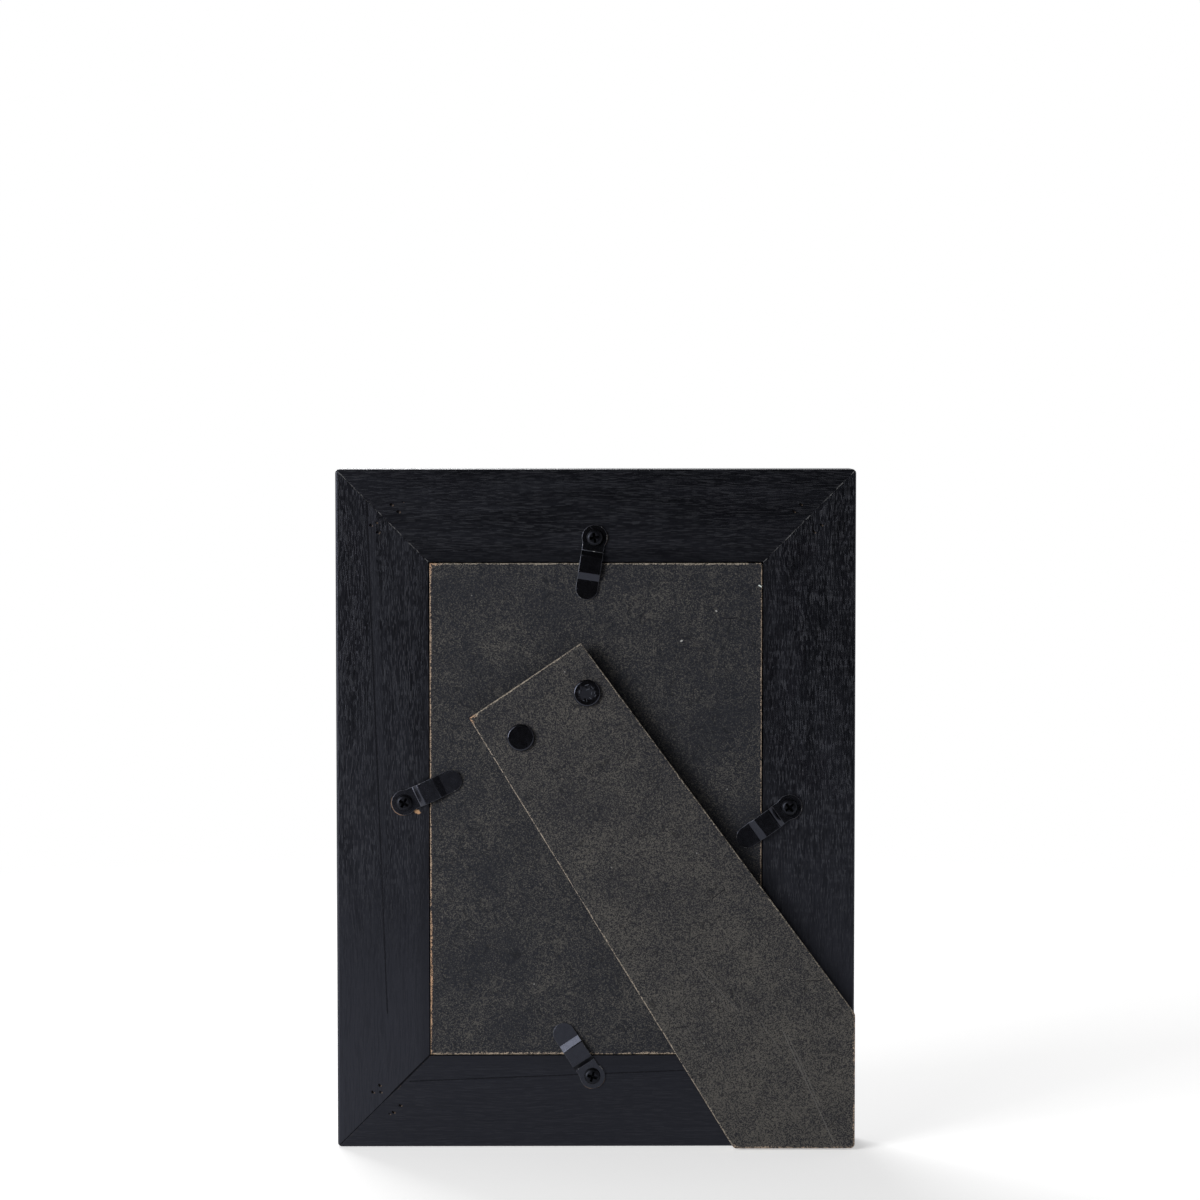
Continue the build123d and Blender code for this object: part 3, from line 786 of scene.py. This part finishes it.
def panel_wear(x, z):
    """Worn width of the panel's edge in mm, how bare it is, and how warm the fibre is there."""
    left, right = panel_high.x / MM - x, x - panel_low.x / MM
    upper = panel_high.z / MM - z
    corner_chip = max(0.0, 1.0 - math.hypot(left, upper) / 5.0)
    if left < 1.0:
        low_stretch = math.exp(-(((z - 52.0) / 24.0) ** 2))
        worn = 0.26 + 0.12 * low_stretch + 0.3 * corner_chip
        return worn, 0.9, 0.45 + 0.5 * low_stretch + 0.5 * corner_chip
    if right < 1.0:
        return 0.24, 0.78, 0.35
    if upper < 1.0:
        return 0.30 + 0.4 * corner_chip, 0.82, 0.10 + 0.9 * corner_chip
    return 0.42, 0.85, 0.25


def leg_wear(x, z):
    """Worn width of the leg's edge in mm, how bare it is, and how warm the fibre is there."""
    top_corner = max(0.0, 1.0 - math.hypot(x - leg_top_left[0], z - leg_top_left[1]) / 3.0)
    from_right = (x - leg_top_right[0]) * inwards_x + (z - leg_top_right[1]) * inwards_z
    if x < foot_side or z < foot_low:
        return 0.42, 0.68, 0.35
    if from_right < 1.0 and x < 4.0:
        return 0.20, 0.62, 0.10
    return 0.20 + 1.2 * top_corner, 0.88 + 0.2 * top_corner, 0.10 + 1.1 * top_corner


pocket_size = (2.52 * MM, 0.7 * MM)
panel = worn_sheet("worn_back_panel", "back_panel", "frame", panel_wear, pocket_size)
leg = worn_sheet("worn_easel_leg", "easel_leg", "leg", leg_wear)


# %% [markdown]
# The coat is a bluish charcoal. On the leg more of the tan fibre shows through it, so the leg
# looks lighter and more olive. Both use the same groups with other values. The leg has long
# scratches on its lower half, and both have a few dark hairs pressed into the coat.


# %% Coated hardboard
def coated_hardboard(name, seed, coat, shows_from, paler_below, rubbed_angle, rubbed, rubbed_below, level, marks):
    """A thin dark coat over pressed fibre, worn to bare fibre at the edges."""
    material, tree, shader, position = new_finish(name)
    fibre = placed(tree, pressed_fibre, Position=position, Seed=seed)
    thin = calc(tree, "MULTIPLY_ADD", fibre["Cloud"], 0.5, calc(tree, "SUBTRACT", fibre["Grain"], 0.25))
    height_here = xyz(tree, position)["Z"]
    # Paler towards the bottom: the coat is thinned there, so more fibre shows.
    thin = calc(tree, "ADD", thin, fade(tree, height_here, 0.0, 0.13, paler_below, 0.0))
    shows = fade(tree, thin, shows_from, shows_from + 0.5)
    hair = times(tree, fibre["Hair"], fade(tree, fibre["Cloud"], 0.35, 0.7, 0.10, 0.35))
    deep = fade(tree, fibre["Grain"], 0.24, 0.46, 0.5, 0.0)
    colour = mix(tree, deep, rgb(*coat), rgb(*(0.4 * c for c in coat)))
    colour = mix(tree, shows, colour, rgb(0.106, 0.099, 0.088))
    colour = mix(tree, hair, colour, rgb(0.115, 0.108, 0.097))
    colour = mix(tree, times(tree, fibre["Strand"], 0.55), colour, rgb(*(0.45 * c for c in coat)))
    scratch = placed(tree, fine_scratches, Position=position, Angle=rubbed_angle, Seed=seed)["Scratch"]
    lower = fade(tree, height_here, rubbed_below - 0.02, rubbed_below + 0.02, rubbed, 0.1 * rubbed)
    colour = mix(tree, times(tree, scratch, lower), colour, rgb(0.120, 0.116, 0.112))
    speck = placed(tree, specks, Position=position, Share=0.03)["Speck"]
    colour = mix(tree, times(tree, speck, 0.6), colour, rgb(0.32, 0.32, 0.31))
    colour, _ = draw_marks(tree, position, colour, level, marks)
    bare = add(tree, "Attribute", attribute_name="bare").outputs["Fac"]
    warm = add(tree, "Attribute", attribute_name="warm").outputs["Fac"]
    raw = mix(tree, warm, rgb(0.31, 0.285, 0.240), rgb(0.50, 0.31, 0.19))
    raw = mix(tree, fade(tree, fibre["Grain"], 0.33, 0.52, 0.85, 0.0), raw, rgb(0.045, 0.035, 0.028))
    frayed = calc(tree, "MULTIPLY_ADD", fibre["Grain"], 1.5, calc(tree, "SUBTRACT", bare, 0.75))
    torn = fade(tree, frayed, 0.58, 0.76)
    colour = mix(tree, torn, colour, raw)
    put(tree, colour, shader.inputs["Base Color"])
    rough = fade(tree, fibre["Grain"], 0.3, 0.7, 0.52, 0.68)
    put(tree, calc(tree, "MAXIMUM", rough, times(tree, torn, 0.9)), shader.inputs["Roughness"])
    shader.inputs["Specular IOR Level"].default_value = 0.15
    relief = calc(tree, "MULTIPLY_ADD", hair, 0.5, times(tree, fibre["Grain"], 1.2))
    emboss(tree, shader, relief, strength=0.5, depth=0.05 * MM)
    return material


hair_shade, line_shade, dust_shade = (0.004, 0.004, 0.007), (0.13, 0.125, 0.12), (0.55, 0.55, 0.53)
panel.data.materials.append(coated_hardboard(
    "panel_coat", seed=11.0, coat=(0.0165, 0.0180, 0.0240), shows_from=0.48, paler_below=0.0,
    rubbed_angle=1.2, rubbed=0.10, rubbed_below=0.3, level=panel_high.y,
    marks=[
        ((-39.2, 164.1), (-43.4, 164.2), 0.22, hair_shade, 0.9),
        ((-26.2, 157.1), (-26.5, 157.3), 0.28, dust_shade, 0.8),
        ((-36.9, 166.4), (-37.1, 166.3), 0.24, dust_shade, 0.7),
        ((-50.2, 174.2), (-50.9, 173.9), 0.28, (0.72, 0.78, 0.74), 1.0),
        ((24.0, 118.0), (21.6, 121.0), 0.18, hair_shade, 0.7),
    ],
))
leg_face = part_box("easel_leg")[1].y
leg.data.materials.append(coated_hardboard(
    "leg_coat", seed=12.0, coat=(0.0200, 0.0208, 0.0265), shows_from=0.40, paler_below=0.13,
    rubbed_angle=0.99, rubbed=0.55, rubbed_below=0.06, level=leg_face,
    marks=[
        ((-35.6, 78.1), (-39.6, 81.2), 0.22, hair_shade, 0.9),
        ((-24.8, 38.3), (-28.3, 38.6), 0.22, hair_shade, 0.8),
        ((-64.9, 52.7), (-69.2, 52.8), 0.22, hair_shade, 0.8),
        ((-30.4, 57.1), (-44.0, 43.4), 0.16, line_shade, 0.5),
        ((-57.6, 36.9), (-73.4, 2.3), 0.20, line_shade, 0.7),
        ((-59.0, 36.0), (-69.0, 14.0), 0.16, line_shade, 0.6),
    ],
))
print("coated the panel and the leg")

# %% [markdown]
# ## Turn buttons, screws and rivets
# These are small pressed and turned pieces in black enamel. Their edges are broken by the
# press and by the enamel, and those rounded edges catch the light.
# Each visible piece is a copy of the model's shape with its sharp edges rounded a little. The
# faces of the rounding get a second, paler finish: enamel worn thin, with a painted highlight.
# Only the small faces are shaded smooth, so that each flat mirrors one thing and the bends stay
# crisp.


# %% Rounded copies
SHARP = 0.6  # an edge that turns by more than this, in radians, is rounded
SMALL = 1.0 * MM * MM  # faces under this area are shaded smooth


def rounded_copy(name, node_name, body, width, finishes, is_third=None):
    """A copy with its sharp edges rounded. The rounding takes the second finish, chosen faces the third."""
    low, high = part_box(node_name)
    middle = (low + high) / 2
    bm = bmesh.new()
    bm.from_mesh(nodes[node_name].data)
    bmesh.ops.remove_doubles(bm, verts=bm.verts, dist=0.002 * MM)
    bmesh.ops.dissolve_limit(bm, angle_limit=0.01, verts=bm.verts, edges=bm.edges)
    for face in bm.faces:
        face.material_index = 0
    corners = [e for e in bm.edges if e.calc_face_angle(0.0) > SHARP]
    bmesh.ops.bevel(
        bm, geom=corners, offset=width, offset_type="OFFSET", segments=2, profile=0.5, affect="EDGES",
        clamp_overlap=True, material=1,
    )
    for face in bm.faces:
        face.smooth = face.calc_area() < SMALL
        spot = face.calc_center_median()
        sunk, aside = high.y - spot.y, math.hypot(spot.x - middle.x, spot.z - middle.z)
        if len(finishes) > 2 and is_third(sunk, aside, face.normal):
            face.material_index = 2
    mesh = bpy.data.meshes.new(name)
    bm.to_mesh(mesh)
    bm.free()
    piece = new_object(name, mesh)
    for finish in finishes:
        mesh.materials.append(finish)
    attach(piece, body)
    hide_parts(node_name)


# %% [markdown]
# The enamel itself is nearly black and glossy, with the faint unevenness of sprayed paint, fine
# rubbing and, on the edges, chips. One function makes every shade of it, so that the flats, the
# left button's flats painted lighter for the light on them, the worn edges with their painted
# highlight, the screws and the painted shade in their crosses differ only in their values.

# %% Black enamel
rivet_top = leg_face + 1.2 * MM  # a rivet's head is 1.2 mm high


def black_enamel(name, seed, body_colour, chip_from, rough, gloss=0.5, marks=()):
    """Gloss enamel with slight orange peel, fine rubbing and, above chip_from, chips to the primer."""
    material, tree, shader, position = new_finish(name)
    scratch = placed(tree, fine_scratches, Position=position, Angle=0.8, Seed=seed)["Scratch"]
    peel = cloud(tree, position, (650.0, 650.0, 650.0), seed, 2.0)
    chips = cloud(tree, position, (700.0, 700.0, 700.0), seed + 4.0, 2.0)
    colour = mix(tree, times(tree, scratch, 0.3), rgb(*body_colour), rgb(0.030, 0.032, 0.038))
    colour = mix(tree, fade(tree, chips, chip_from, chip_from + 0.05), colour, rgb(0.30, 0.30, 0.30))
    colour, _ = draw_marks(tree, position, colour, rivet_top, marks)
    put(tree, colour, shader.inputs["Base Color"])
    roughness = fade(tree, peel, 0.3, 0.7, rough - 0.03, rough + 0.04)
    roughness = calc(tree, "MAXIMUM", roughness, times(tree, scratch, 0.4))
    put(tree, roughness, shader.inputs["Roughness"])
    shader.inputs["Specular IOR Level"].default_value = gloss
    shader.inputs["Specular Tint"].default_value = rgb(0.73, 0.78, 1.0)
    emboss(tree, shader, peel, strength=0.08, depth=0.05 * MM)
    return material


enamel = black_enamel("enamel", 21.0, (0.0030, 0.0030, 0.0036), chip_from=0.80, rough=0.20)
# The rounded edges: enamel worn thin, and paler as a painted highlight.
edge_wear_and_highlight = black_enamel("edge_wear_and_highlight", 22.0, (0.042, 0.044, 0.050), chip_from=0.62, rough=0.26)
# Painted light: the left button's flats are lighter, as more light from the left lamp falls on them.
painted_lit_enamel = black_enamel("painted_lit_enamel", 24.0, (0.0075, 0.0078, 0.0100), chip_from=0.80, rough=0.24)
screw_black = black_enamel(
    "screw_black", 25.0, (0.0040, 0.0041, 0.0050), chip_from=0.85, rough=0.36, gloss=0.20)
# Painted shade: the cross in a screw's head is near black, for the shade deep in the recess.
recess_painted_shade = black_enamel(
    "recess_painted_shade", 26.0, (0.0008, 0.0008, 0.0009), chip_from=0.95, rough=0.70, gloss=0.08)


def in_recess(sunk, aside, normal):
    """Faces of the cross in a screw's head, which take the painted shade of the deep recess."""
    return 0.2 * MM < sunk < 1.15 * MM and aside < 1.75 * MM


def faces_down(sunk, aside, normal):
    """The slope of the lower button that looks down at its own screw and is duller."""
    return normal.y > 0.2 and normal.z < -0.4


strip_round, screw_round, rivet_round = 0.12 * MM, 0.06 * MM, 0.05 * MM
screw_finishes = (screw_black, screw_black, recess_painted_shade)
for side in ("top", "left", "right", "bottom"):
    button_body, strip = side + "_button", side + "_turn_button"
    # The left button's flats take the enamel painted lighter for the light on them.
    flat_enamel = painted_lit_enamel if side == "left" else enamel
    strip_finishes = (flat_enamel, edge_wear_and_highlight)
    if side == "bottom":
        strip_finishes += (screw_black,)
    strip_name = side + "_button_strip"
    rounded_copy(strip_name, strip, button_body, strip_round, strip_finishes, faces_down)
    screw_node = side + "_button_screw"
    screw_body = next(b for b, e in frame["bodies"].items() if nodes[screw_node].parent == e)
    screw_name = side + "_screw"
    rounded_copy(screw_name, screw_node, screw_body, screw_round, screw_finishes, in_recess)

# %% [markdown]
# The two rivets on the leg are the same enamel. The right one has been scraped, so a few short
# bluish scuffs curl over its flat top.

# %% Rivets
scuffed = min((centre for centre, _ in leg_holes), key=lambda c: c.x) / MM
scuff_shade = (0.095, 0.105, 0.125)
scuff_ends = [
    (Vector((0.6, 2.4)), Vector((-0.5, 2.7))), (Vector((-1.3, 2.0)), Vector((-1.9, 1.4))),
    (Vector((-2.5, 0.7)), Vector((-2.3, -0.1))), (Vector((-2.7, -0.5)), Vector((-2.4, -1.1))),
    (Vector((0.2, 1.0)), Vector((-0.8, 1.4))), (Vector((-1.5, 0.4)), Vector((-1.3, -0.4))),
    (Vector((0.3, -1.6)), Vector((0.0, -2.5))), (Vector((2.3, 0.8)), Vector((2.4, -0.1))),
    (Vector((-0.8, -1.3)), Vector((-1.3, -1.7))), (Vector((1.2, -2.1)), Vector((0.8, -2.3))),
]
scuffs = [(scuffed + a, scuffed + b, 0.13, scuff_shade, 0.70) for a, b in scuff_ends]
haze_shade, aside = (0.022, 0.023, 0.029), Vector((1.0, 0.0))
scuffs.insert(0, (scuffed + aside, scuffed - aside, 2.4, haze_shade, 0.8))
rivet_enamel = black_enamel(
    "rivet_enamel", 23.0, (0.0030, 0.0030, 0.0036), chip_from=0.85, rough=0.20, marks=scuffs)
rounded_copy("rivet_heads", "leg_rivets", "leg", rivet_round, (rivet_enamel, edge_wear_and_highlight))
print("enamelled the buttons, screws and rivets")

# %% [markdown]
# ## Hinge and nails
# The hinge under the leg and its rivets on the panel are plain bright steel, rolled and cut, so
# faint lines run along the sheet. The nails in the corners were stained over and rusted a little.


# %% Plain steel
material, tree, shader, position = new_finish("rolled_steel")
lines = cloud(tree, position, (150.0, 1500.0, 2200.0), 31.0, 2.0)
stains = cloud(tree, position, (240.0, 240.0, 240.0), 32.0, 3.0)
put(tree, mix(tree, stains, rgb(0.42, 0.42, 0.41), rgb(0.58, 0.57, 0.55)), shader.inputs["Base Color"])
put(tree, fade(tree, lines, 0.3, 0.7, 0.28, 0.46), shader.inputs["Roughness"])
shader.inputs["Metallic"].default_value = 1.0
emboss(tree, shader, lines, strength=0.15, depth=0.02 * MM)
steel_nodes = [n for n in nodes if "hinge" in n or n == "panel_rivets"]
for node_name in steel_nodes:
    give_finish(node_name, material)
print("steel:", steel_nodes)

material, tree, shader, position = new_finish("stained_steel")
stains = cloud(tree, position, (900.0, 900.0, 900.0), 33.0, 3.0)
rust = mix(tree, stains, rgb(0.0010, 0.0008, 0.0007), rgb(0.022, 0.015, 0.010))
put(tree, rust, shader.inputs["Base Color"])
put(tree, fade(tree, stains, 0.3, 0.7, 0.6, 0.85), shader.inputs["Roughness"])
shader.inputs["Specular IOR Level"].default_value = 0.1
nail_nodes = [n for n in nodes if "v_nails" in n]
for node_name in nail_nodes:
    give_finish(node_name, material)
print("stained over:", nail_nodes)

# %% [markdown]
# ## Glass and picture card
# In front is a pane of clear glass over a plain card, where the print goes. The glass has
# faint smears that change its roughness, and the card a soft tooth. Clear glass throws next to no
# shadow, so it is left out of the shadows and the lamps reach the card.


# %% Glass and card
material, tree, shader, position = new_finish("clear_pane")
smears = cloud(tree, position, (35.0, 35.0, 60.0), 41.0, 3.0)
put(tree, mix(tree, smears, rgb(0.96, 0.985, 0.975), rgb(0.985, 0.995, 0.99)), shader.inputs["Base Color"])
put(tree, fade(tree, smears, 0.55, 0.85, 0.01, 0.10), shader.inputs["Roughness"])
shader.inputs["Transmission Weight"].default_value = 1.0
shader.inputs["IOR"].default_value = 1.5
give_finish("glass_pane", material)
nodes["glass_pane"].visible_shadow = False

material, tree, shader, position = new_finish("picture_card")
tooth = cloud(tree, position, (1800.0, 1800.0, 1800.0), 42.0, 3.0)
shade = cloud(tree, position, (30.0, 30.0, 30.0), 43.0, 2.0)
paper = mix(tree, shade, rgb(0.70, 0.69, 0.66), rgb(0.76, 0.75, 0.72))
paper = mix(tree, times(tree, tooth, 0.25), paper, rgb(0.62, 0.61, 0.58))
put(tree, paper, shader.inputs["Base Color"])
put(tree, fade(tree, tooth, 0.3, 0.7, 0.75, 0.9), shader.inputs["Roughness"])
shader.inputs["Specular IOR Level"].default_value = 0.2
emboss(tree, shader, tooth, strength=0.3, depth=0.03 * MM)
give_finish("photo_insert", material)
print("glazed, with a plain card")
